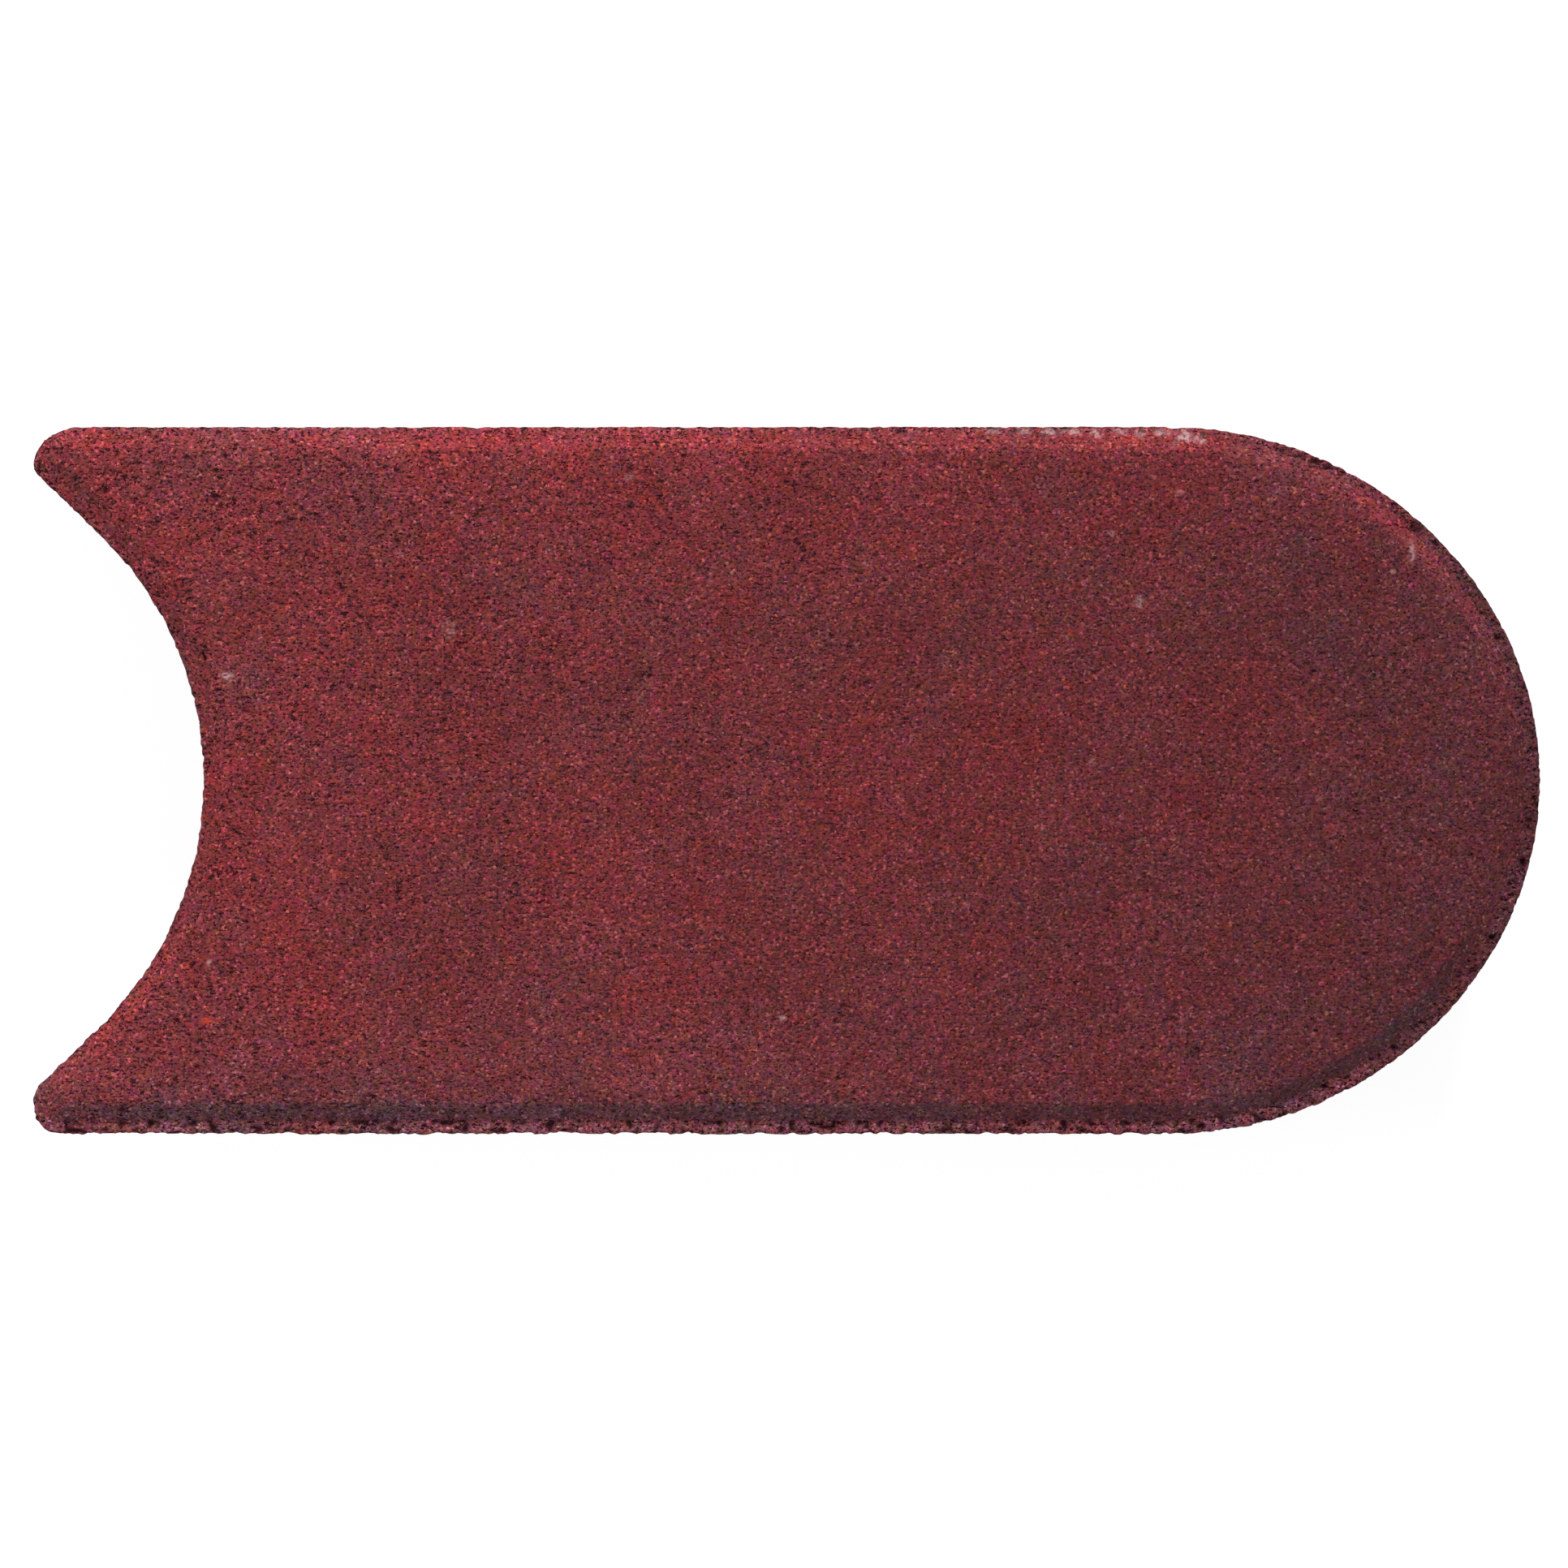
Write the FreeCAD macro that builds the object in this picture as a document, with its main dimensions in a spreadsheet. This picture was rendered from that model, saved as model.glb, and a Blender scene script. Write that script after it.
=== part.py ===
import FreeCAD, Part
import math
import os
import Sketcher

# Lawn edging stone, one block of pressed concrete, in millimetres.
# Seen from above it has a convex nose at +X and a concave nest between two horns at -X.
# The nose of one stone turns in the nest of the next, so a row can follow a curve.
# It lies on its bed face with its top face up.
# The origin is the middle of the outline, on the bed face, and +X runs towards the nose.

# Driving sizes
SIZES = [
    ("Length", 245.0, "over all, from the horn tips to the nose"),
    ("Width", 115.0, "across the two straight sides"),
    ("Height", 45.0, "from the bed face to the top face"),
    ("NoseRadius", 54.0, "round end of the nose"),
    ("ShoulderAngle", 30.0, "degrees from the middle of the nose to where the flatter shoulder starts"),
    ("JointGap", 1.5, "joint between a nose and the nest that it stands in"),
    ("HornWidth", 17.5, "from a side to the end of the round part of the nest"),
    ("HornTipRadius", 5.0, "rounding of a horn's tip in the mould"),
    ("LedgeNose", 2.3, "rim left outside the pressing shoe, at the nose"),
    ("LedgeNest", 0.5, "the same rim at the nest"),
    ("LedgeBack", 0.8, "the same rim along the +Y side"),
    ("LedgeFront", 2.0, "the same rim along the -Y side"),
    ("BevelWidth", 3.4, "bevel of the top face, seen from above"),
    ("BevelDepth", 2.2, "how far the bevel comes down"),
    ("FaceTipRadius", 1.5, "rounding of a horn's tip on the top face"),
]

# The nest is as much larger than the nose as the joint is wide
NEST_RADIUS = "(params.NoseRadius + params.JointGap)"

# The pressing shoe is smaller than the mould, by the mean of the four rims
SHOE_INSET = "(params.LedgeNose + params.LedgeNest + params.LedgeBack + params.LedgeFront) / 4"
SHOE_LENGTH = "params.Length - params.LedgeNose - params.LedgeNest"
SHOE_WIDTH = "params.Width - params.LedgeBack - params.LedgeFront"

# It came down a little off the middle of the mould
SHOE_X = "(params.LedgeNest - params.LedgeNose) / 2"
SHOE_Y = "(params.LedgeFront - params.LedgeBack) / 2"
LEDGE_LEVEL = "params.Height - params.BevelDepth"


def make_sheet(doc):
    """Put the driving sizes in a spreadsheet, one named cell each."""
    sheet = doc.addObject("Spreadsheet::Sheet", "params")
    for row, (alias, size, meaning) in enumerate(SIZES, start=1):
        sheet.set(f"A{row}", alias)
        sheet.set(f"B{row}", str(size))
        sheet.set(f"C{row}", meaning)
        sheet.setAlias(f"B{row}", alias)
    doc.recompute()
    return sheet


def origin_plane(body, role):
    """Return the body's own origin plane that has this role."""
    for plane in body.Origin.OriginFeatures:
        if plane.Role == role:
            return plane
    raise RuntimeError(f"{body.Name} has no origin plane {role}")


class Outline:
    """Expressions for the stone's outline, drawn this far inside the mould's wall."""

    def __init__(self, length, width, inset, tip_radius):
        self.half_length = f"({length}) / 2"
        self.half_width = f"({width}) / 2"
        self.nose_radius = f"params.NoseRadius - ({inset})"
        self.nest_radius = f"{NEST_RADIUS} + {inset}"
        self.tip_radius = tip_radius
        self.nose_centre = f"({self.half_length}) - ({self.nose_radius})"
        self.nose_end = f"({self.nose_radius}) * sin(params.ShoulderAngle * 1 deg)"
        nest_slope = f"(params.Width / 2 - params.HornWidth) / {NEST_RADIUS}"
        self.nest_end = f"({self.nest_radius}) * {nest_slope}"


def outline_curves(sizes, nest_centre):
    """Lines and arcs of one outline, counter-clockwise from the nose."""
    up = FreeCAD.Vector(0, 0, 1)
    quarter, half, full = math.pi / 2, math.pi, 2 * math.pi
    half_width = sizes["half_width"]
    nose_radius, nest_radius, tip_radius = sizes["nose_radius"], sizes["nest_radius"], sizes["tip_radius"]

    # The shoulder arc touches the nose arc at this angle and the straight side at its end
    turn = math.asin(sizes["nose_end"] / nose_radius)
    shoulder_radius = (half_width - nose_radius * math.sin(turn)) / (1 - math.sin(turn))
    shoulder_x = sizes["nose_centre"] - (shoulder_radius - nose_radius) * math.cos(turn)
    shoulder_y = half_width - shoulder_radius

    # The flank is the straight line that touches both the nest arc and the tip arc
    slope = math.asin(sizes["nest_end"] / nest_radius)
    tip_y = half_width - tip_radius
    reach = (nest_radius + tip_radius - tip_y * math.sin(slope)) / math.cos(slope)
    if nest_centre is None:
        nest_centre = sizes["half_length"] - tip_radius + reach
    tip_x = reach - nest_centre

    def arc(x, y, radius, start, end):
        return Part.ArcOfCircle(Part.Circle(FreeCAD.Vector(x, y, 0), up, radius), start, end)

    def flank(side):
        lean = FreeCAD.Vector(math.cos(slope), side * math.sin(slope), 0)
        tip = FreeCAD.Vector(tip_x, side * tip_y, 0) - lean * tip_radius
        nest = FreeCAD.Vector(-nest_centre, 0, 0) + lean * nest_radius
        return (tip, nest) if side > 0 else (nest, tip)

    def side_line(x_from, x_to, y):
        return Part.LineSegment(FreeCAD.Vector(x_from, y, 0), FreeCAD.Vector(x_to, y, 0))

    return [
        arc(sizes["nose_centre"], 0, nose_radius, -turn, turn),
        arc(shoulder_x, shoulder_y, shoulder_radius, turn, quarter),
        side_line(shoulder_x, tip_x, half_width),
        arc(tip_x, tip_y, tip_radius, quarter, half + slope),
        Part.LineSegment(*flank(1)),
        arc(-nest_centre, 0, nest_radius, -slope, slope),
        Part.LineSegment(*flank(-1)),
        arc(tip_x, -tip_y, tip_radius, half - slope, half + quarter),
        side_line(tip_x, shoulder_x, -half_width),
        arc(shoulder_x, -shoulder_y, shoulder_radius, half + quarter, full - turn),
    ]


# Names of those curves, in that order, and of a curve's own points as a sketch counts them
CURVES = [
    "nose", "back_shoulder", "back_side", "back_tip", "back_flank",
    "nest", "front_flank", "front_tip", "front_side", "front_shoulder",
]
POINTS = ["edge", "start", "end", "centre"]

# Neighbouring curves meet end to end in one smooth line
MEETINGS = [
    ("nose end", "back_shoulder start"), ("back_shoulder end", "back_side start"),
    ("back_side end", "back_tip start"), ("back_tip end", "back_flank start"),
    ("back_flank end", "nest end"), ("nest start", "front_flank start"),
    ("front_flank end", "front_tip start"), ("front_tip end", "front_side start"),
    ("front_side end", "front_shoulder start"), ("front_shoulder end", "nose start"),
]


def spot(words):
    """Turn words such as "nose centre" into a sketch's numbers for that curve and point.

    "origin" is the sketch's own zero point and "x_axis" its first axis.
    """
    own = {"origin": (-1, POINTS.index("start")), "x_axis": (-1,)}
    if words in own:
        return own[words]
    curve, point = words.split()
    return CURVES.index(curve), POINTS.index(point)


def add_outline(body, name, outline, place, mould=None):
    """Draw one outline in the body and bind its sizes and its place to the sheet.

    place holds the expressions of its middle and level. mould is the outline
    that the stone has in the mould: its nest has the same centre as this one's.
    """
    sketch = body.newObject("Sketcher::SketchObject", name)
    sketch.AttachmentSupport = [(origin_plane(body, "XY_Plane"), "")]
    sketch.MapMode = "FlatFace"
    for axis, expression in zip("xyz", place):
        sketch.setExpression(f".AttachmentOffset.Base.{axis}", expression)

    sizes = {key: float(body.evalExpression(text)) for key, text in vars(outline).items()}
    nest_centre = None if mould is None else mould.getDatum("NestCentre").Value
    sketch.addGeometry(outline_curves(sizes, nest_centre), False)

    def constrain(kind, *spots):
        return sketch.addConstraint(Sketcher.Constraint(kind, *(n for words in spots for n in spot(words))))

    for one, other in MEETINGS:
        constrain("Tangent", one, other)
    for side in ("back_side", "front_side"):
        sketch.addConstraint(Sketcher.Constraint("Horizontal", CURVES.index(side)))
    for curve in ("nose", "nest"):
        constrain("PointOnObject", f"{curve} centre", "x_axis")
    constrain("Symmetric", "back_tip centre", "front_tip centre", "x_axis")
    sketch.addConstraint(Sketcher.Constraint("Equal", CURVES.index("back_tip"), CURVES.index("front_tip")))

    def name_and_bind(index, label, expression):
        sketch.renameConstraint(index, label)
        sketch.setExpression(f"Constraints.{label}", expression)

    def radius(label, curve, expression):
        place = CURVES.index(curve)
        size = sketch.Geometry[place].Radius
        name_and_bind(sketch.addConstraint(Sketcher.Constraint("Radius", place, size)), label, expression)

    def distance(label, kind, start, end, size, expression):
        constraint = Sketcher.Constraint(kind, *spot(start), *spot(end), size)
        name_and_bind(sketch.addConstraint(constraint), label, expression)

    radius("NoseRadius", "nose", outline.nose_radius)
    radius("NestRadius", "nest", outline.nest_radius)
    radius("TipRadius", "back_tip", outline.tip_radius)
    distance("NoseCentre", "DistanceX", "origin", "nose centre", sizes["nose_centre"], outline.nose_centre)
    distance("HalfWidth", "DistanceY", "origin", "back_side start", sizes["half_width"], outline.half_width)
    distance("NoseEndBack", "DistanceY", "origin", "nose end", sizes["nose_end"], outline.nose_end)
    distance("NoseEndFront", "DistanceY", "nose start", "origin", sizes["nose_end"], outline.nose_end)
    distance("NestEnd", "DistanceY", "origin", "nest end", sizes["nest_end"], outline.nest_end)

    # In the mould the horn tips end the stone's length, and the nest's centre follows from them
    nest_x = -sketch.Geometry[CURVES.index("nest")].Center.x
    if mould is None:
        tip_x = sizes["half_length"] - sizes["tip_radius"]
        tip_centre = f"{outline.half_length} - {outline.tip_radius}"
        distance("TipCentre", "DistanceX", "back_tip centre", "origin", tip_x, tip_centre)
        index = sketch.addConstraint(
            Sketcher.Constraint("DistanceX", *spot("nest centre"), *spot("origin"), nest_x)
        )
        sketch.renameConstraint(index, "NestCentre")
        sketch.setDriving(index, False)
    else:
        shared = f"{mould.Name}.Constraints.NestCentre"
        distance("NestCentre", "DistanceX", "nest centre", "origin", nest_x, shared)
    doc.recompute()
    return sketch


def make_stone(doc):
    """The stone is a block of the mould's outline with the shoe's bevelled face on top."""
    body = doc.addObject("PartDesign::Body", "edging_stone")
    body.Label = "edging_stone"

    # Up to the rim the concrete has the outline of the mould
    block = Outline("params.Length", "params.Width", "0", "params.HornTipRadius")
    block_outline = add_outline(body, "block_outline", block, ("0", "0", "0"))
    pad = body.newObject("PartDesign::Pad", "block")
    pad.Profile = block_outline
    pad.Type = 0
    pad.setExpression("Length", LEDGE_LEVEL)
    doc.recompute()

    # The shoe stands on the rim and its bevel leads in to the top face
    shoe = Outline(SHOE_LENGTH, SHOE_WIDTH, SHOE_INSET, f"params.HornTipRadius - {SHOE_INSET}")
    shoe_outline = add_outline(body, "shoe_outline", shoe, (SHOE_X, SHOE_Y, LEDGE_LEVEL), block_outline)
    face = Outline(
        f"{SHOE_LENGTH} - 2 * params.BevelWidth",
        f"{SHOE_WIDTH} - 2 * params.BevelWidth",
        f"({SHOE_INSET} + params.BevelWidth)",
        "params.FaceTipRadius",
    )
    face_outline = add_outline(body, "face_outline", face, (SHOE_X, SHOE_Y, "params.Height"), block_outline)
    bevel = body.newObject("PartDesign::AdditiveLoft", "bevelled_face")
    bevel.Profile = shoe_outline
    bevel.Sections = [face_outline]
    bevel.Ruled = True
    doc.recompute()
    return body


def check(doc, pieces):
    """Stop if any object failed or a piece isn't one valid solid."""
    for item in doc.Objects:
        if "Invalid" in item.State or "Error" in item.State:
            raise RuntimeError(f"{item.Name} failed: {item.State}")
    for piece in pieces:
        shape = piece.Shape
        if shape.isNull() or not shape.isValid() or len(shape.Solids) != 1:
            raise RuntimeError(f"{piece.Label} isn't one valid solid")


os.makedirs("parts", exist_ok=True)
doc = FreeCAD.newDocument("lawn_edging")
make_sheet(doc)
stone = make_stone(doc)
stone.Placement = FreeCAD.Placement()
doc.recompute()
check(doc, [stone])

stone.Shape.exportStep(f"parts/{stone.Label}.step")
box = stone.Shape.BoundBox
print(f"{stone.Label}: {box.XLength:.2f} x {box.YLength:.2f} x {box.ZLength:.2f} mm")
print(f"x {box.XMin:.2f} to {box.XMax:.2f}, volume {stone.Shape.Volume / 1e6:.4f} litres")
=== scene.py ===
# %% [markdown]
# # A pressed concrete edging stone
#
# This lesson dresses one lawn edging stone: a flat block of red concrete with a round nose at one
# end and a nest at the other. The real stone is made in a block machine. A dry, crumbly mix of
# cement, sand and iron oxide is shaken into a steel mould, and a shoe presses the top face flat.
#
# That leaves four kinds of surface: a dense pressed face with its bevel, a crumbly rim where the
# mix rose round the shoe, open walls that slid out of the mould, and a bed face with larger holes.
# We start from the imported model, which fixes every size, and only add the skin to it.

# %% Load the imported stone
import bpy
import bmesh
import math
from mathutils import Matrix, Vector, kdtree, noise


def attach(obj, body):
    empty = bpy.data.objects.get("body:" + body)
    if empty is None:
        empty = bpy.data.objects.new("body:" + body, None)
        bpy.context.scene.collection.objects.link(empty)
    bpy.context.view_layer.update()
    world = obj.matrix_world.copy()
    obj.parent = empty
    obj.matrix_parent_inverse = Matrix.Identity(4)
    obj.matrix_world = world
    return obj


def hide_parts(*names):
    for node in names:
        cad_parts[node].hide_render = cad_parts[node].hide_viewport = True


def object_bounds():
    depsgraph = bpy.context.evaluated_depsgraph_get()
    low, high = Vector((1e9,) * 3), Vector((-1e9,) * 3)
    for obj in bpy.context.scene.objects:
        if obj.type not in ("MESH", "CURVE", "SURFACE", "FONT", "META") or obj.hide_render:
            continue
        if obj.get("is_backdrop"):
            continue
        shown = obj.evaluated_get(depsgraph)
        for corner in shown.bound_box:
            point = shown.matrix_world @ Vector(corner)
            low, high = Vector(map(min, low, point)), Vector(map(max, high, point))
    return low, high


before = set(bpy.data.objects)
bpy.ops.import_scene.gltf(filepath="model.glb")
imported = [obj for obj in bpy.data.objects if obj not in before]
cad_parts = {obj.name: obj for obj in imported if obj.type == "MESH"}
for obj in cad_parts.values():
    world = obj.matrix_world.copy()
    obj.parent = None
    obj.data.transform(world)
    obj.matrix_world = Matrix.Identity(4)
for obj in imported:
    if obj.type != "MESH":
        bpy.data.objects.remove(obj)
cad_low, cad_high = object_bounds()
print("box of the packed model", tuple(cad_low), tuple(cad_high))

MM = 0.001

# %% [markdown]
# ## Read the stone's levels
#
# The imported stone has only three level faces: the bed, the rim round the shoe, and the top face.
# We could type their heights in again, but reading them keeps this script right if the stone
# changes. The copy's loose triangles are merged first, because every later step needs a closed
# skin.

# %% Copy the stone and merge its corners
WELD = 0.01 * MM

bm = bmesh.new()
bm.from_mesh(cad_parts["edging_stone"].data)
bmesh.ops.remove_doubles(bm, verts=bm.verts, dist=WELD)
bm.normal_update()
level_faces = [face for face in bm.faces if abs(face.normal.z) > 0.999]
bed_z, rim_z, top_z = sorted({round(face.calc_center_median().z / MM, 1) for face in level_faces})
side_y = max(vert.co.y for vert in bm.verts) / MM
skin = bpy.data.meshes.new("pressed_stone")
bm.to_mesh(skin)
bm.free()
stone = bpy.data.objects.new("pressed_stone", skin)
bpy.context.scene.collection.objects.link(stone)
print("bed, rim and top at", bed_z, rim_z, top_z, "mm, faces in the copy", len(skin.polygons))

# %% [markdown]
# ## Give the skin even facets
#
# Relief needs many small facets of one size, and the copy has long thin triangles. Subdividing
# would keep their shape. A voxel remesh lays an even net of squares over the whole closed solid
# instead. It also rounds the arrises by about one voxel, which suits concrete.

# %% Remesh
FACET = 0.5 * MM


def bake_modifiers(piece):
    """Replace the piece's mesh by what its modifiers make of it."""
    graph = bpy.context.evaluated_depsgraph_get()
    finished = bpy.data.meshes.new_from_object(piece.evaluated_get(graph))
    rough = piece.data
    piece.modifiers.clear()
    piece.data = finished
    bpy.data.meshes.remove(rough)
    return finished


remesh = stone.modifiers.new("even_facets", "REMESH")
remesh.mode = "VOXEL"
remesh.voxel_size = FACET
skin = bake_modifiers(stone)
print("facets after the remesh", len(skin.polygons))

# %% [markdown]
# ## Soften the arrises and round the walls
#
# Pressed concrete has no knife edges: the first grains fall off when it leaves the mould.
# `smooth_vert` moves each point towards the middle of its neighbours. Flat areas don't change
# under it and arrises shrink a little, so one pass breaks every edge. The bevel gets more passes,
# because the shoe leaves a soft crest, and so do the walls, where smoothing also melts the flats
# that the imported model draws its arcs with.

# %% Smooth
ARRIS_PASSES = 1
CREST_PASSES = 4
WALL_PASSES = 16


def smooth(bm, verts, passes):
    """Move these points towards the middle of their neighbours, in several passes."""
    for _ in range(passes):
        bmesh.ops.smooth_vert(
            bm, verts=verts, factor=0.5, use_axis_x=True, use_axis_y=True, use_axis_z=True
        )
    bm.normal_update()


bm = bmesh.new()
bm.from_mesh(skin)
smooth(bm, bm.verts, ARRIS_PASSES)
walls = [v for v in bm.verts if bed_z + 1.5 < v.co.z / MM < rim_z - 1.5 and abs(v.normal.z) < 0.3]
smooth(bm, walls, WALL_PASSES)
smooth(bm, [v for v in bm.verts if v.co.z / MM > rim_z + 0.7], CREST_PASSES)
print("points", len(bm.verts), "of them in the walls", len(walls))

# %% [markdown]
# ## Relief of the four surfaces
#
# A Displace modifier could push every point by one texture, but each surface here was made in its
# own way. So a short function gives the depth in millimetres for each kind, a mask says where
# each kind lies, and every point moves inwards by the sum. Nothing moves outwards, which keeps
# the stone inside its real size.

# %% Noise at real sizes
def ramp(value, low, high):
    """0 below low, 1 above high and an even, soft rise between them."""
    t = min(max((value - low) / (high - low), 0.0), 1.0)
    return t * t * (3 - 2 * t)


def swell(p, size, seed=0.0):
    """Smooth noise of about this size in millimetres, from 0 to 1."""
    return 0.5 + 0.5 * noise.noise(p / size + Vector((seed, seed, seed)))


def crumbs(p, size, seed=0.0):
    """Separate lumps of about this size: 0 on their tops and 1 in the gaps between them."""
    uneven = 0.6 * swell(p, size, seed) + 0.4 * swell(p, size * 0.57, seed + 3.7)
    return ramp(uneven, 0.40, 0.68)


def front_side(p):
    """1 along the front side, where the most crumbs came loose, and 0 elsewhere."""
    return ramp(-p.y, side_y - 12, side_y - 2)


def holes(p, spacing, share, radius):
    """Uneven holes, 1 in the middle and 0 outside, in this share of cells of that spacing."""
    p = p + 0.45 * radius * noise.noise_vector(p / radius)
    distances, centres = noise.voronoi(p / spacing)
    chance = 0.5 + 0.5 * noise.cell(centres[0] * 57.31)
    if chance > share:
        return 0.0
    own_radius = radius * (0.5 + 0.5 * chance / share)
    return max(0.0, 1 - (distances[0] * spacing / own_radius) ** 2)


# %% Depth of each surface in millimetres
# Each surface gives two depths: that of its grains and that of its holes, which the material also darkens
# with painted shade.
def looseness(p):
    """How loosely the mix filled the mould: dense at the nose and loosest in the nest's horns."""
    along = 0.7 * ramp(-p.x, -50, 95) + 0.4 * ramp(-p.x, 85, 112)
    return min(1.0, along + 0.2 * ramp(p.y, -20, 50)) * ramp(swell(p, 14.0, 41.0), 0.05, 0.55)


def pressed_face(p):
    """The face under the shoe: dense, with slow waves and a few small holes."""
    waves = 0.10 * swell(p, 16.0, 3.0) + 0.16 * looseness(p) * crumbs(p, 1.2, 43.0)
    return waves, 0.22 * holes(p, 3.6, 0.05, 0.6)


def crumbled_rim(p):
    """The rim round the shoe: loose crumbs, and stretches where more of them fell off."""
    torn = ramp(swell(p, 9.0, 21.0), 0.45, 0.75) * (0.4 + 0.6 * front_side(p))
    gaps = (0.45 + 0.55 * front_side(p)) * crumbs(p, 1.7, 7.0)
    lumps = 0.10 * gaps + 0.10 * crumbs(p, 3.5, 1.0)
    return lumps, 0.42 * gaps ** 2 + (0.2 + 0.4 * torn) * holes(p, 2.2, 0.1 + 0.5 * torn, 0.9)


def moulded_wall(p):
    """A wall that slid out of the mould: open grains drawn upright, and holes."""
    drawn = Vector((p.x, p.y, p.z * 0.35))
    lumps = 0.20 * crumbs(drawn, 1.2, 11.0) + 0.12 * swell(drawn, 5.0, 5.0)
    return lumps, 0.7 * holes(p, 3.6, 0.22, 1.1) + 1.0 * holes(p, 9.0, 0.30, 2.1)


def bed_face(p):
    """The face that lay on the pallet board: flat grains with larger holes between them."""
    lumps = 0.14 * crumbs(p, 1.4, 13.0)
    return lumps, 0.6 * holes(p, 4.4, 0.25, 1.1) + 0.9 * holes(p, 12.0, 0.20, 2.2)


def torn_arris(p):
    """What the outer arris lost, drawn upright: most along the front side, least on the back."""
    drawn = Vector((p.x, p.y, p.z * 0.12))
    back = ramp(p.y, side_y - 12, side_y - 2)
    loss = 0.16 + 0.18 * front_side(p) - 0.11 * back - 0.10 * ramp(p.x, 60, 100)
    return loss * (crumbs(drawn, 1.5, 31.0) + 0.9 * ramp(swell(drawn, 4.7, 33.0), 0.66, 0.85))


# %% Work out how far each point sinks
count = len(bm.verts)
depths, holed, losses = [0.0] * count, [0.0] * count, [0.0] * count
bevelled, crumbly, walled = [0.0] * count, [0.0] * count, [0.0] * count
for vert in bm.verts:
    p = vert.co / MM
    up = vert.normal.z
    raised = ramp(p.z, rim_z + 0.05, rim_z + 0.5)
    rim = (1 - raised) * ramp(up, 0.35, 0.8)
    under = ramp(-up, 0.5, 0.85)
    wall = max(0.0, 1 - raised - rim - under)
    for share, surface_kind in (
        (raised, pressed_face), (rim, crumbled_rim), (under, bed_face), (wall, moulded_wall),
    ):
        if share > 0:
            grain_depth, hole_depth = surface_kind(p)
            depths[vert.index] += share * (grain_depth + hole_depth)
            holed[vert.index] += share * hole_depth
    at_arris = (1 - raised) * ramp(p.z, rim_z - 8, rim_z - 2)
    if at_arris > 0:
        losses[vert.index] = at_arris * torn_arris(p)
    bevelled[vert.index] = raised * ramp(1 - up, 0.0, 0.14)
    crumbly[vert.index], walled[vert.index] = rim, wall
print("deepest relief", round(max(depths), 2), "mm, deepest loss", round(max(losses), 2), "mm")

# %% [markdown]
# ## Marks of this stone
#
# Some marks belong to this one stone: pits where a crumb fell out, a worn horn tip, pale lime
# bloom along the back side and a few pale and rust-red grains. A texture can't put them in their
# places, so each one is a line in a list. Pits and wear add to the depth, and the rest is kept in
# point attributes that the material reads.

# %% Pits, wear and stains
PITS = [  # x, y, length along x, width, depth
    (6.4, -56.3, 2.8, 1.3, 0.7), (102.3, 40.7, 3.4, 1.7, 0.5), (119.6, -13.2, 1.4, 2.2, 0.8),
    (98.7, -43.3, 1.5, 1.4, 0.7), (-110.1, 46.9, 1.6, 1.0, 0.6), (-108.4, 47.6, 1.0, 0.9, 0.5),
    (80.8, 53.6, 3.2, 1.2, 0.4), (83.3, 52.8, 3.2, 1.2, 0.6), (85.8, 51.9, 3.2, 1.2, 0.6),
    (88.2, 50.9, 3.0, 1.2, 0.6), (90.2, 50.0, 2.4, 1.2, 0.4), (-87.1, 11.2, 1.8, 1.0, 0.5),
    (-88.3, 6.5, 1.4, 1.2, 0.5), (87.3, -49.7, 1.7, 1.0, 0.5), (115.6, 23.2, 1.8, 1.3, 0.7),
    (-78.8, -53.1, 1.2, 1.0, 0.5), (-30.4, 33.9, 1.4, 1.1, 0.4), (-76.5, 36.1, 1.4, 0.9, 0.4),
    (112.9, 27.3, 1.2, 1.0, 0.6), (-86.3, -56.2, 1.7, 0.8, 0.6), (34.2, 50.4, 1.8, 0.8, 0.4),
    (114.6, -25.4, 1.6, 1.2, 0.9), (-107.3, -53.5, 1.8, 1.0, 0.6), (104.1, 17.1, 1.6, 0.9, 0.4),
    (-55.1, 36.6, 1.3, 0.9, 0.4), (120.5, -6.5, 1.0, 1.4, 0.6), (76.0, -54.2, 1.6, 1.0, 0.6),
    (-64.0, -4.0, 1.3, 0.9, 0.4), (-96.5, 52.1, 1.3, 0.9, 0.4),
]
WORN = [  # x, y, reach, depth: larger places where the arris is rubbed away
    (-121.0, 56.5, 5.0, 1.2),
]
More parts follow.
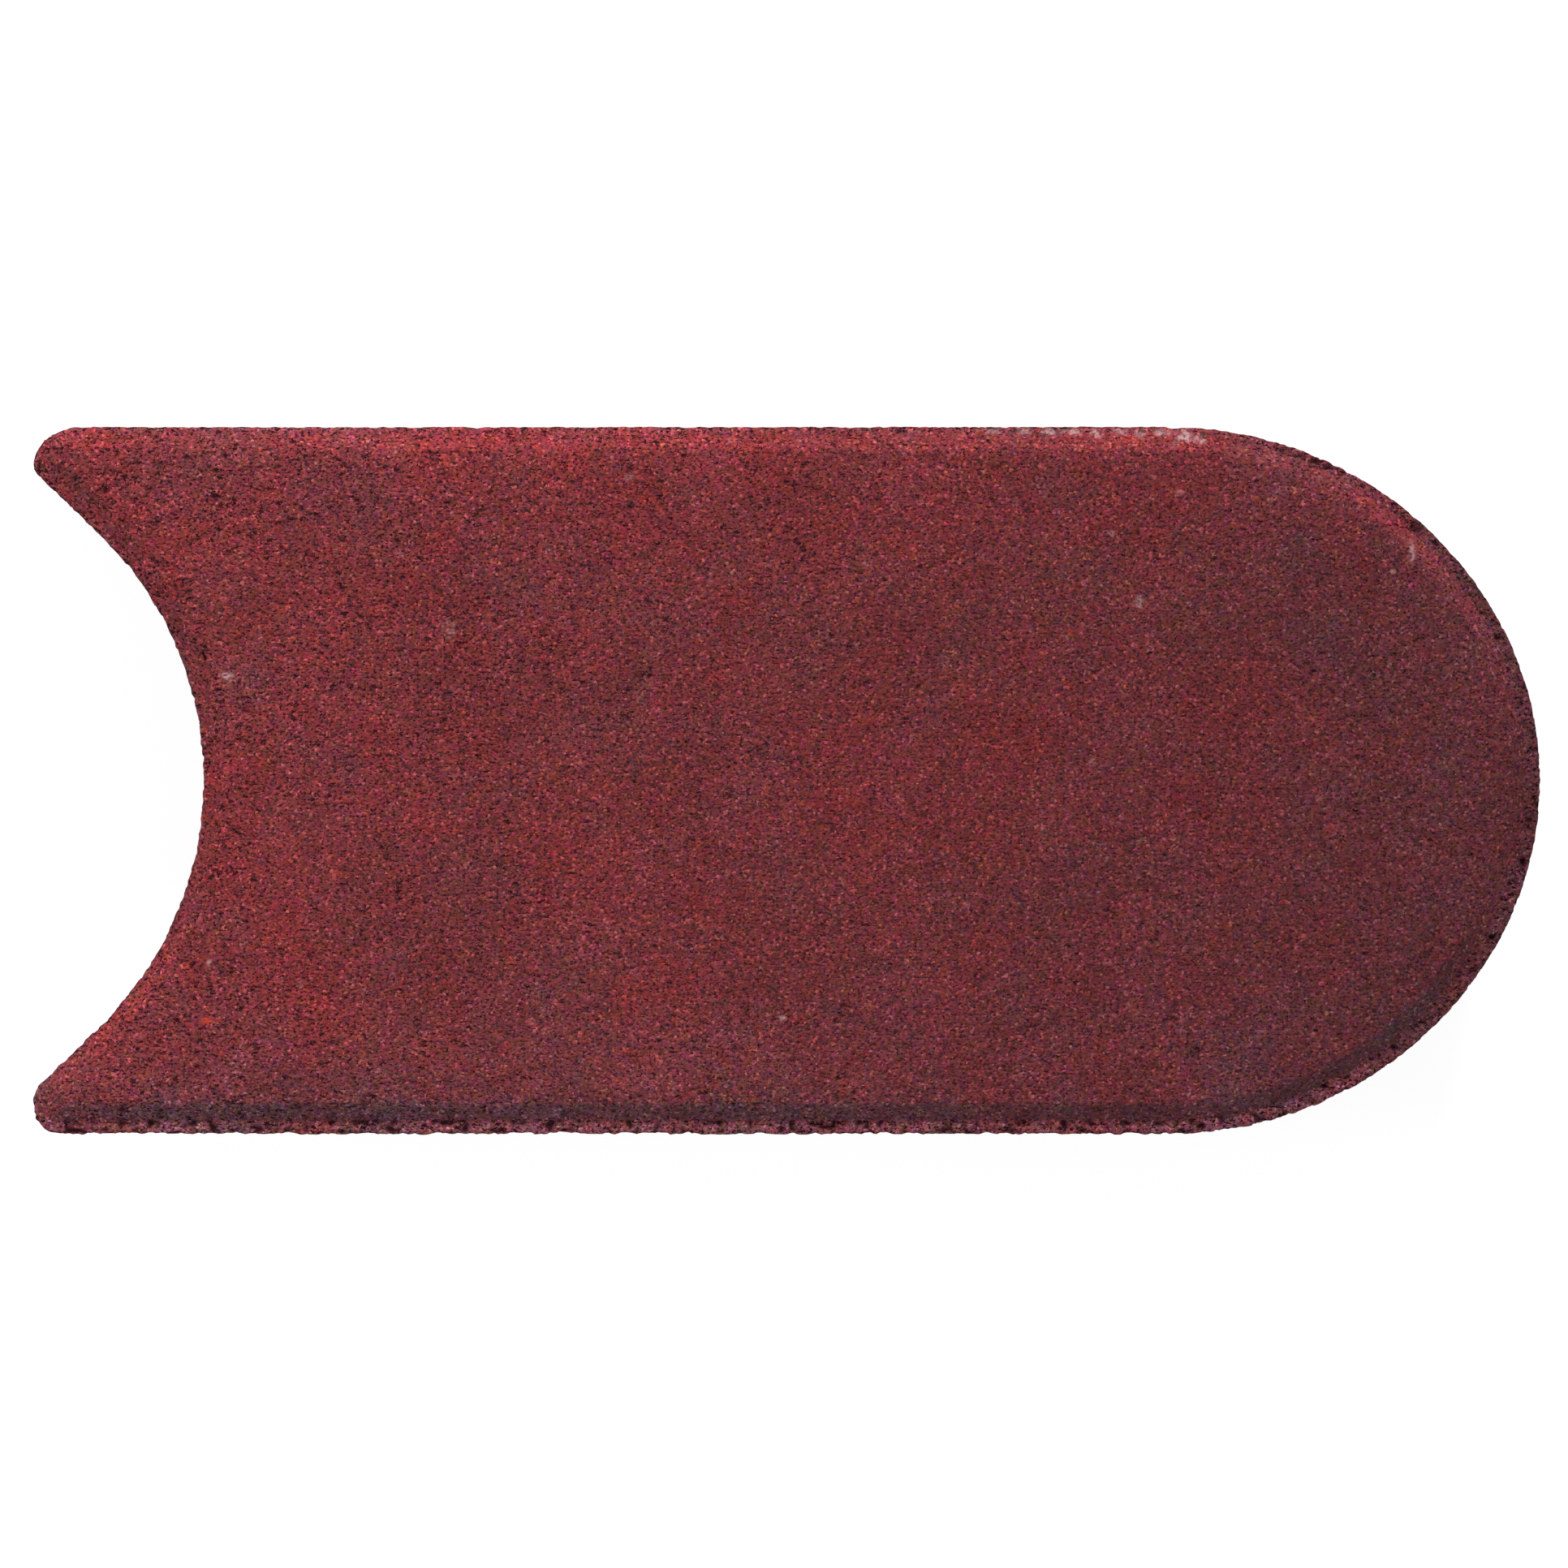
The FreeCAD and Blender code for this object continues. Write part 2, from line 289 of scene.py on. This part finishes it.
PALE = [  # x, y, length, width, strength: lime and pale grains
    (101.2, 36.9, 1.2, 4.2, 0.9), (63.5, 46.5, 1.7, 1.5, 0.8), (-90.2, 16.9, 2.6, 1.5, 0.6),
    (57.0, 28.9, 1.8, 2.3, 0.5), (86.2, 49.0, 1.3, 1.0, 0.7), (52.5, 40.1, 1.4, 1.2, 0.5),
    (49.6, 2.9, 1.1, 1.0, 0.6), (-93.2, -29.3, 1.2, 1.1, 0.6), (-78.4, -33.0, 1.2, 1.1, 0.5),
    (-0.6, -38.4, 1.3, 1.1, 0.6), (13.1, 35.2, 1.3, 1.1, 0.5), (-25.4, 49.1, 1.6, 1.3, 0.5),
    (-54.5, 24.5, 2.6, 3.4, 0.3), (98.0, 33.8, 1.0, 0.9, 0.7), (-9.0, 55.2, 1.4, 0.9, 0.7),
    (37.0, 45.0, 1.0, 0.9, 0.5), (33.5, 56.7, 3.0, 1.2, 0.4), (38.2, 56.7, 4.0, 1.3, 0.6),
    (42.6, 56.5, 2.6, 1.7, 0.8), (46.5, 56.6, 4.4, 1.5, 0.8), (50.3, 56.3, 2.4, 2.1, 0.9),
    (54.0, 56.6, 3.6, 1.4, 0.8), (57.4, 56.2, 2.2, 2.0, 0.8), (61.2, 56.4, 3.4, 1.6, 0.8),
    (64.6, 55.8, 3.0, 2.4, 1.0), (67.0, 55.2, 2.4, 2.2, 1.0), (62.8, 54.4, 1.6, 1.4, 0.6),
]
RUSTY = [  # x, y, length, width, strength: strong red and orange grains
    (-93.6, -38.8, 3.0, 1.8, 0.9), (46.0, 24.2, 1.5, 1.5, 0.7), (-90.3, 28.0, 1.5, 1.5, 0.6),
    (88.0, -7.8, 2.1, 1.6, 0.7), (63.2, 46.9, 2.6, 2.2, 0.6), (-72.6, -15.4, 1.6, 1.6, 0.6),
]

tree = kdtree.KDTree(len(bm.verts))
for vert in bm.verts:
    tree.insert(vert.co, vert.index)
tree.balance()
marked = set()  # marks and holes, with a margin round them, which keep all their facets


def near(x, y, length, width):
    """Points of the upper skin in an oval spot, each with its weight from 0 to 1."""
    centre = Vector((x, y, (rim_z + top_z) / 2)) * MM
    for co, index, _ in tree.find_range(centre, (max(length, width) / 2 + 1.6) * MM):
        across, along = (co.x / MM - x) / (length / 2), (co.y / MM - y) / (width / 2)
        weight = 1 - ramp(math.hypot(across, along), 0.4, 1.15)
        marked.add(index)
        if weight > 0:
            yield index, weight


bm.verts.ensure_lookup_table()
pale = bm.verts.layers.float.new("lime")
rusty = bm.verts.layers.float.new("rust")
shade_and_dirt = bm.verts.layers.float.new("shade_and_dirt")
painted_sheen = bm.verts.layers.float.new("painted_sheen")
painted_light_and_bloom = bm.verts.layers.float.new("painted_light_and_bloom")
loose = bm.verts.layers.float.new("loose")
for x, y, length, width, dent in PITS:
    for index, weight in near(x, y, length, width):
        depths[index] += dent * weight
        holed[index] += 0.6 * dent * weight
for x, y, reach, loss in WORN:
    for index, weight in near(x, y, 2 * reach, 2 * reach):
        losses[index] += loss * weight
for x, y, length, width, strength in PALE:
    for index, weight in near(x, y, length, width):
        bm.verts[index][pale] = max(bm.verts[index][pale], strength * weight)
for x, y, length, width, strength in RUSTY:
    for index, weight in near(x, y, length, width):
        bm.verts[index][rusty] = max(bm.verts[index][rusty], strength * weight)
in_holes = {vert.index for vert in bm.verts if holed[vert.index] > 0.05}
for _ in range(2):
    in_holes |= {edge.other_vert(bm.verts[i]).index for i in in_holes for edge in bm.verts[i].link_edges}
marked |= in_holes
print("points in marks and holes", len(marked))

# %% Move the points
# Depth goes along the normal. What an arris lost goes sideways only, so that the rim stays level.
sideways = Vector((1, 1, 0))
moves = [vert.normal * depth + vert.normal * sideways * loss
         for vert, depth, loss in zip(bm.verts, depths, losses)]
for vert, move in zip(bm.verts, moves):
    p, bevel = vert.co / MM, bevelled[vert.index]
    rim, nest_end = crumbly[vert.index], ramp(-vert.normal.x, 0.1, 0.4)
    facing_front = ramp(-vert.normal.y, 0.1, 0.4)
    # Painted shade: the front bevel darkens towards the nose, and a band along the middle of the face's
    # nose half is a little darker, where less light falls.
    painted_shade = 0.22 * bevel * facing_front * ramp(p.x, -60, 60)
    middle = ramp(p.x, 5, 40) * (1 - ramp(abs(p.y), 14, 32)) * ramp(p.z, rim_z, top_z - 0.5)
    painted_shade = max(painted_shade, 0.06 * middle)
    # This attribute holds painted shade: the two darker places above, and the holes, where it is shade with
    # some dirt.
    vert[shade_and_dirt] = max(painted_shade, ramp(holed[vert.index], 0.10, 0.45))
    # Painted sheen: a grey veil of light over the shaded front bevel, towards the nose, on the rim and
    # along the front edge, which makes the red greyer.
    face_and_rim_sheen = 0.35 * ramp(p.x, 20, 115) + rim * (0.25 + 0.35 * front_side(p)) + 0.3 * ramp(-p.y, 42, 51)
    bevel_sheen = bevel * facing_front * (1 - 0.7 * nest_end)
    vert[painted_sheen] = min(1.0, max(bevel_sheen, face_and_rim_sheen))
    # Painted light: the nest end and its horns, the margins along both sides, the back bevel that faces the
    # key lamp and the rim are made lighter, as if more light fell there. Only the bloom along the back side
    # is real lime.
    horns = 0.26 * ramp(-p.x, 60, 95) + 0.22 * ramp(-p.x, 97, 112)
    margins = 0.27 * ramp(p.y, 40, 52) + 0.18 * ramp(-p.y, 30, 44)
    nest_light = nest_end * (0.25 + 0.45 * ramp(abs(p.y), 15, 35))
    bevel_light = bevel * max(0.66 * ramp(vert.normal.y, 0.05, 0.4), nest_light)
    rim_light = rim * max(0.75 * ramp(abs(p.y), 40, 50) + 0.25 * front_side(p), nest_light)
    bloomed = 0.3 * ramp(p.x, 25, 45) * (1 - ramp(p.x, 66, 74)) * ramp(p.y, 52, 55)
    light_and_bloom = min(1.0, max(bevel_light, rim_light, horns, margins) + bloomed)
    vert[painted_light_and_bloom] = light_and_bloom * (1 - walled[vert.index])
    vert[loose] = max(looseness(p), 1.5 * rim, walled[vert.index])
    vert.co -= move * MM
bm.to_mesh(skin)
bm.free()

# %% [markdown]
# ## Spend the facets where they show
#
# The net has far more facets than a shared part should carry. Decimate melts the ones that change
# the shape least, and a vertex group tells it where it may: freely on the bed and the flat of the
# face, less on the walls with their holes, and not at all on the rim, the bevel and the marks,
# whose crumbs are as small as the facets.

# %% Thin out
TRIANGLE_SHARE = 0.285

free = stone.vertex_groups.new(name="may_melt")
for vert in skin.vertices:
    z = vert.co.z / MM
    on_face = ramp(z, top_z - 0.35, top_z - 0.2)
    below = (1 - ramp(z, rim_z - 3.0, rim_z - 1.0)) * (0.55 + 0.45 * abs(vert.normal.z))
    weight = 0.0 if vert.index in marked else max(on_face, below)
    if weight > 0:
        free.add([vert.index], weight, "REPLACE")
thin = stone.modifiers.new("thin_out", "DECIMATE")
thin.ratio = TRIANGLE_SHARE
thin.vertex_group = "may_melt"
skin = bake_modifiers(stone)
stone.vertex_groups.clear()
skin.polygons.foreach_set("use_smooth", [True] * len(skin.polygons))
# Melting can push a point out by a hundredth of a millimetre, so all go back inside the real size.
for vert in skin.vertices:
    vert.co = [min(max(c, low), high) for c, low, high in zip(vert.co, cad_low, cad_high)]
print("triangles", sum(len(face.vertices) - 2 for face in skin.polygons))

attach(stone, "root")
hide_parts("edging_stone")

# %% [markdown]
# ## Concrete coloured right through
#
# The red is iron oxide in the cement, so every freshly broken face has it too. What the eye sees
# is sand grains of about half a millimetre in slightly different reds, dark pores between them,
# and cloudy patches where the pigment mixed less well, some nearer to orange and some to mauve.
# An image would repeat and stretch, so the grains come from Voronoi cells and noise at their real
# size, in object coordinates.

# %% Colour and node helpers
def linear(hex_colour):
    """Turn an sRGB hex colour into the linear colour that shaders use."""
    channels = [int(hex_colour[i:i + 2], 16) / 255 for i in (1, 3, 5)]
    bent = [c / 12.92 if c <= 0.04045 else ((c + 0.055) / 1.055) ** 2.4 for c in channels]
    return (*bent, 1.0)


def add_node(nodes, kind, settings=None, inputs=None):
    """Add a node, set its properties, and set or link its inputs."""
    node = nodes.nodes.new(kind)
    for name, value in (settings or {}).items():
        setattr(node, name, value)
    for name, value in (inputs or {}).items():
        if isinstance(value, bpy.types.NodeSocket):
            nodes.links.new(value, node.inputs[name])
        else:
            node.inputs[name].default_value = value
    return node


def set_stops(node, stops):
    """Give a colour ramp its stops, each a place from 0 to 1 and a linear colour."""
    elements = node.color_ramp.elements
    while len(elements) > 1:
        elements.remove(elements[-1])
    elements[0].position, elements[0].color = stops[0]
    for place, colour in stops[1:]:
        elements.new(place).color = colour


def new_material(name):
    """Make a material with an empty node tree."""
    material = bpy.data.materials.new(name)
    material.use_nodes = True
    material.node_tree.nodes.clear()
    return material, material.node_tree


# %% Sand grains in their tints
SAND = 0.38

concrete, nodes = new_material("pressed_concrete_oxide_red")
place = add_node(nodes, "ShaderNodeTexCoord")
in_mm = add_node(nodes, "ShaderNodeMapping", {}, {
    "Vector": place.outputs["Object"], "Scale": (1 / MM, 1 / MM, 1 / MM),
}).outputs["Vector"]
grains = add_node(nodes, "ShaderNodeTexVoronoi", {"feature": "F1"}, {
    "Vector": in_mm, "Scale": 1 / SAND,
})
lots = add_node(nodes, "ShaderNodeSeparateColor", {}, {"Color": grains.outputs["Color"]})
tints = add_node(nodes, "ShaderNodeValToRGB", {}, {"Fac": lots.outputs["Red"]})
set_stops(tints, [
    (0.00, linear("#4a1a21")),
    (0.20, linear("#6a292d")),
    (0.50, linear("#792e31")),
    (0.80, linear("#87353a")),
    (0.94, linear("#9d4145")),
    (1.00, linear("#bd585b")),
])


# %% Cloudy pigment
# A noise or a cell gives three unrelated channels. They scale red, green and blue by themselves,
# so that grains run between brick red, brown and mauve, not only light and dark. In the large
# patches green and blue go together.
def vary(colour, lots, lot_range, swing):
    """Scale each channel of a colour by its own lot, up or down by as much as its swing."""
    spread = add_node(nodes, "ShaderNodeMapRange", {"data_type": "FLOAT_VECTOR"}, {"Vector": lots})
    spread.inputs[7].default_value = (lot_range[0],) * 3
    spread.inputs[8].default_value = (lot_range[1],) * 3
    spread.inputs[9].default_value = [1 - s for s in swing]
    spread.inputs[10].default_value = [1 + s for s in swing]
    return add_node(nodes, "ShaderNodeVectorMath", {"operation": "MULTIPLY"}, {
        0: colour, 1: spread.outputs["Vector"],
    }).outputs["Vector"]


cloud = add_node(nodes, "ShaderNodeTexNoise", {}, {
    "Vector": in_mm, "Scale": 1 / 18, "Detail": 6.0, "Roughness": 0.70,
})
lumps = add_node(nodes, "ShaderNodeTexVoronoi", {"feature": "F1"}, {
    "Vector": in_mm, "Scale": 1 / 0.9,
})
cloud_lots = add_node(nodes, "ShaderNodeSeparateColor", {}, {"Color": cloud.outputs["Color"]})
red_or_mauve = add_node(nodes, "ShaderNodeCombineColor", {}, {
    "Red": cloud_lots.outputs["Red"],
    "Green": cloud_lots.outputs["Green"],
    "Blue": cloud_lots.outputs["Green"],
})
clouded = vary(tints.outputs["Color"], red_or_mauve.outputs["Color"], (0.3, 0.7), (0.22, 0.24, 0.27))
clouded = vary(clouded, lumps.outputs["Color"], (0.0, 1.0), (0.16, 0.23, 0.32))

# %% Pores
# Pores between the grains are a little longer along the stone. Rounder gaps lie among them, and
# where the mix lay loose in the mould there are more of them. The mesh's holes join them in one
# mask, and the near-black red that this mask brings is painted shade with some dirt.
GAP_SPACING = 0.68

flat_place = add_node(nodes, "ShaderNodeMapping", {}, {
    "Vector": in_mm, "Scale": (0.78, 1.05, 1.0),
}).outputs["Vector"]
pores = add_node(nodes, "ShaderNodeTexNoise", {}, {
    "Vector": flat_place, "Scale": 1 / 0.42, "Detail": 2.0, "Roughness": 0.6,
})
looseness_here = add_node(nodes, "ShaderNodeAttribute", {"attribute_name": "loose"}).outputs["Fac"]
pore_depth = add_node(nodes, "ShaderNodeMath", {"operation": "MULTIPLY_ADD"}, {
    0: looseness_here, 1: 0.25, 2: 0.88,
}).outputs["Value"]
open_pores = add_node(nodes, "ShaderNodeMapRange", {"interpolation_type": "SMOOTHSTEP"}, {
    "Value": pores.outputs["Fac"], "From Min": 0.455, "From Max": 0.33,
    "To Min": 0.0, "To Max": pore_depth,
})
long_place = add_node(nodes, "ShaderNodeMapping", {}, {
    "Vector": in_mm, "Scale": (0.6, 1.15, 1.0),
}).outputs["Vector"]
ragged = add_node(nodes, "ShaderNodeVectorMath", {"operation": "MULTIPLY_ADD"}, {
    0: pores.outputs["Color"], 1: (1.6, 1.6, 1.6), 2: long_place,
})
gaps = add_node(nodes, "ShaderNodeTexVoronoi", {"feature": "F1"}, {
    "Vector": ragged.outputs["Vector"], "Scale": 1 / GAP_SPACING,
})
gap_lots = add_node(nodes, "ShaderNodeSeparateColor", {}, {"Color": gaps.outputs["Color"]})
denser = add_node(nodes, "ShaderNodeMapRange", {}, {
    "Value": cloud_lots.outputs["Blue"], "From Min": 0.35, "From Max": 0.65, "To Min": 0.66, "To Max": 0.92,
}).outputs["Result"]
without = add_node(nodes, "ShaderNodeMath", {"operation": "MULTIPLY_ADD"}, {
    0: looseness_here, 1: -0.43, 2: denser,
})
gap_size = add_node(nodes, "ShaderNodeMapRange", {}, {
    "Value": gap_lots.outputs["Green"], "From Min": without.outputs["Value"], "From Max": 1.1,
    "To Min": 0.0, "To Max": 0.74,
}).outputs["Result"]
gap_core = add_node(nodes, "ShaderNodeMath", {"operation": "SUBTRACT"}, {0: gap_size, 1: 0.25})
open_gaps = add_node(nodes, "ShaderNodeMapRange", {"interpolation_type": "SMOOTHSTEP"}, {
    "Value": gaps.outputs["Distance"], "From Min": gap_size, "From Max": gap_core.outputs["Value"],
    "To Min": 0.0, "To Max": 1.0,
}).outputs["Result"]
dark = add_node(nodes, "ShaderNodeAttribute", {"attribute_name": "shade_and_dirt"}).outputs["Fac"]
for layer in (open_pores.outputs["Result"], open_gaps):
    dark = add_node(nodes, "ShaderNodeMath", {"operation": "MAXIMUM"}, {
        0: dark, 1: layer,
    }).outputs["Value"]


# %% Painted sheen, painted light, pores with painted shade, lime bloom and rust-red grains in layers
def blend(colour, over, amount):
    """Mix a second colour over the first by this amount."""
    mix = add_node(nodes, "ShaderNodeMix", {"data_type": "RGBA"}, {"Factor": amount})
    for socket, value in ((mix.inputs[6], colour), (mix.inputs[7], over)):
        if isinstance(value, bpy.types.NodeSocket):
            nodes.links.new(value, socket)
        else:
            socket.default_value = value
    return mix.outputs[2]


def times(amount, factor):
    """Multiply an amount by a factor."""
    return add_node(nodes, "ShaderNodeMath", {"operation": "MULTIPLY"}, {
        0: amount, 1: factor,
    }).outputs["Value"]


def tint(colour, attribute, factors):
    """Scale each channel of a colour by its factor as far as the piece's attribute says."""
    amount = add_node(nodes, "ShaderNodeAttribute", {"attribute_name": attribute}).outputs["Fac"]
    scale = blend((1.0, 1.0, 1.0, 1.0), (*factors, 1.0), amount)
    return add_node(nodes, "ShaderNodeVectorMath", {"operation": "MULTIPLY"}, {
        0: colour, 1: scale,
    }).outputs["Vector"]


# Painted sheen greys the red where the attribute says.
sheened_and_lit = tint(clouded, "painted_sheen", (0.85, 1.9, 2.1))
# Painted light lightens the colour, and the bloom along the back side is real lime.
sheened_and_lit = tint(sheened_and_lit, "painted_light_and_bloom", (1.80, 1.56, 1.56))
# The near-black red in pores, gaps and holes is painted shade, with some dirt.
pore_shaded = blend(sheened_and_lit, linear("#2f1219"), dark)
patches = add_node(nodes, "ShaderNodeTexNoise", {}, {
    "Vector": in_mm, "Scale": 1 / 1.6, "Detail": 4.0, "Roughness": 0.75,
})
speckle = add_node(nodes, "ShaderNodeMapRange", {}, {
    "Value": patches.outputs["Fac"], "From Min": 0.46, "From Max": 0.56, "To Min": 0.15, "To Max": 1.0,
}).outputs["Result"]
lime = add_node(nodes, "ShaderNodeAttribute", {"attribute_name": "lime"}).outputs["Fac"]
limed = blend(pore_shaded, linear("#dcabad"), times(lime, speckle))
rust = add_node(nodes, "ShaderNodeAttribute", {"attribute_name": "rust"}).outputs["Fac"]
rusted = blend(limed, linear("#c2402f"), times(rust, speckle))

# %% Fine relief and the surface itself
# The grains stand up as low domes and the pores sink. At this size the relief would need millions
# of facets, so it is bump, with its real depth in metres.
domes = add_node(nodes, "ShaderNodeMath", {"operation": "MULTIPLY_ADD"}, {
    0: grains.outputs["Distance"], 1: -0.4, 2: pores.outputs["Fac"],
})
sunk = add_node(nodes, "ShaderNodeMath", {"operation": "MULTIPLY_ADD"}, {
    0: dark, 1: -0.35, 2: domes.outputs["Value"],
})
relief = add_node(nodes, "ShaderNodeBump", {}, {
    "Strength": 1.0, "Distance": 0.24 * MM, "Height": sunk.outputs["Value"],
})
shine = add_node(nodes, "ShaderNodeMath", {"operation": "MULTIPLY_ADD"}, {
    0: dark, 1: -0.25, 2: 0.3,
}).outputs["Value"]
surface = add_node(nodes, "ShaderNodeBsdfPrincipled", {}, {
    "Base Color": rusted,
    "Roughness": 0.92,
    "IOR": 1.5,
    "Specular IOR Level": shine,
    "Normal": relief.outputs["Normal"],
})
add_node(nodes, "ShaderNodeOutputMaterial", {}, {"Surface": surface.outputs["BSDF"]})
skin.materials.clear()
skin.materials.append(concrete)
print("nodes in the concrete", len(nodes.nodes))

# %% [markdown]
# ## Floor
#
# The stone lies on white. A floor that is lit until it clips would also change the light on the
# stone, so the white comes from Light Path: rays from the camera and mirror-like rays mostly see a
# plain white glow, and a share of real matt floor keeps the stone's soft shadow.

# %% Floor and its paper
FLOOR_SIZE = 6.0
SHADOW_SHARE = 0.3


def seen_directly(nodes):
    """1 for rays that show the background itself, and 0 for the light that it sends."""
    path = add_node(nodes, "ShaderNodeLightPath")
    clear = add_node(nodes, "ShaderNodeMath", {"operation": "MAXIMUM"}, {
        0: path.outputs["Is Glossy Ray"], 1: path.outputs["Is Transmission Ray"],
    })
    return add_node(nodes, "ShaderNodeMath", {"operation": "MAXIMUM"}, {
        0: path.outputs["Is Camera Ray"], 1: clear.outputs["Value"],
    }).outputs["Value"]


bm = bmesh.new()
bmesh.ops.create_grid(bm, x_segments=1, y_segments=1, size=FLOOR_SIZE / 2)
paper_sheet = bpy.data.meshes.new("floor")
bm.to_mesh(paper_sheet)
bm.free()
floor = bpy.data.objects.new("floor", paper_sheet)
bpy.context.scene.collection.objects.link(floor)
floor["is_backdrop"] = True

paper, nodes = new_material("matt_white_paper")
matt = add_node(nodes, "ShaderNodeBsdfDiffuse", {}, {"Color": linear("#f4f4f4")})
glow = add_node(nodes, "ShaderNodeEmission", {}, {"Color": (1, 1, 1, 1), "Strength": 1.3})
share = add_node(nodes, "ShaderNodeMath", {"operation": "MULTIPLY"}, {
    0: seen_directly(nodes), 1: 1 - SHADOW_SHARE,
})
mixed = add_node(nodes, "ShaderNodeMixShader", {}, {
    "Fac": share.outputs["Value"], 1: matt.outputs["BSDF"], 2: glow.outputs["Emission"],
})
add_node(nodes, "ShaderNodeOutputMaterial", {}, {"Surface": mixed.outputs["Shader"]})
paper_sheet.materials.append(paper)

# %% [markdown]
# ## Light
#
# In the photo the bevel towards the top of the picture is bright and the one towards the bottom
# is dark, and the nest end is lighter than the nose end. So one soft key lamp stands low behind
# the stone's back side, a weaker lamp brightens the nest end from its own side, and an even white
# world fills the rest.

# %% World
FILL = 0.33

world = bpy.data.worlds.new("studio")
bpy.context.scene.world = world
world.use_nodes = True
nodes = world.node_tree
nodes.nodes.clear()
fill = add_node(nodes, "ShaderNodeBackground", {}, {"Color": (1, 1, 1, 1), "Strength": FILL})
white = add_node(nodes, "ShaderNodeBackground", {}, {"Color": (1, 1, 1, 1), "Strength": 1.0})
seen = add_node(nodes, "ShaderNodeMixShader", {}, {
    "Fac": seen_directly(nodes), 1: fill.outputs["Background"], 2: white.outputs["Background"],
})
add_node(nodes, "ShaderNodeOutputWorld", {}, {"Surface": seen.outputs["Shader"]})

# %% Lamps
def soft_lamp(name, aim, azimuth, height, distance, cone, size, watts):
    """Aim a soft-edged lamp at a point, from this azimuth and height in degrees."""
    data = bpy.data.lights.new(name, "SPOT")
    data.energy = watts
    data.shadow_soft_size = size
    data.spot_size = math.radians(cone)
    data.spot_blend = 1.0
    lamp = bpy.data.objects.new(name, data)
    bpy.context.scene.collection.objects.link(lamp)
    azimuth, height = math.radians(azimuth), math.radians(height)
    towards = Vector((
        math.cos(azimuth) * math.cos(height), math.sin(azimuth) * math.cos(height), math.sin(height),
    ))
    lamp.location = Vector(aim) + towards * distance
    lamp.rotation_euler = towards.to_track_quat("Z", "Y").to_euler()
    print(name, "at", tuple(round(c, 3) for c in lamp.location))


soft_lamp("key", (-0.090, 0.005, 0.045), 80, 34, 1.15, 29, 0.22, 69.0)
soft_lamp("nest lamp", (-0.14, 0.0, 0.045), 180, 38, 0.6, 18, 0.16, 15.0)

# %% [markdown]
# ## Camera
#
# The photo looks straight down with the back side at the top of the picture. A long lens keeps
# the walls out of sight, as there, and its distance follows from the width that the photo covers.

# %% Straight down
LENS = 85.0
FRAME_WIDTH = 254.2
LOOK_AT = (-0.32, -0.54)

camera_data = bpy.data.cameras.new("camera")
camera_data.lens = LENS
camera = bpy.data.objects.new("camera", camera_data)
bpy.context.scene.collection.objects.link(camera)
distance = FRAME_WIDTH * LENS / camera_data.sensor_width
camera.location = (LOOK_AT[0] * MM, LOOK_AT[1] * MM, (rim_z + distance) * MM)
bpy.context.scene.camera = camera
bpy.context.scene.view_settings.view_transform = "Standard"
print("camera", round(distance), "mm above the rim")

# %% Sizes for the record
low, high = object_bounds()
sizes = {"cad": [list(cad_low), list(cad_high)], "visual": [list(low), list(high)]}
print("visual box", sizes["visual"])
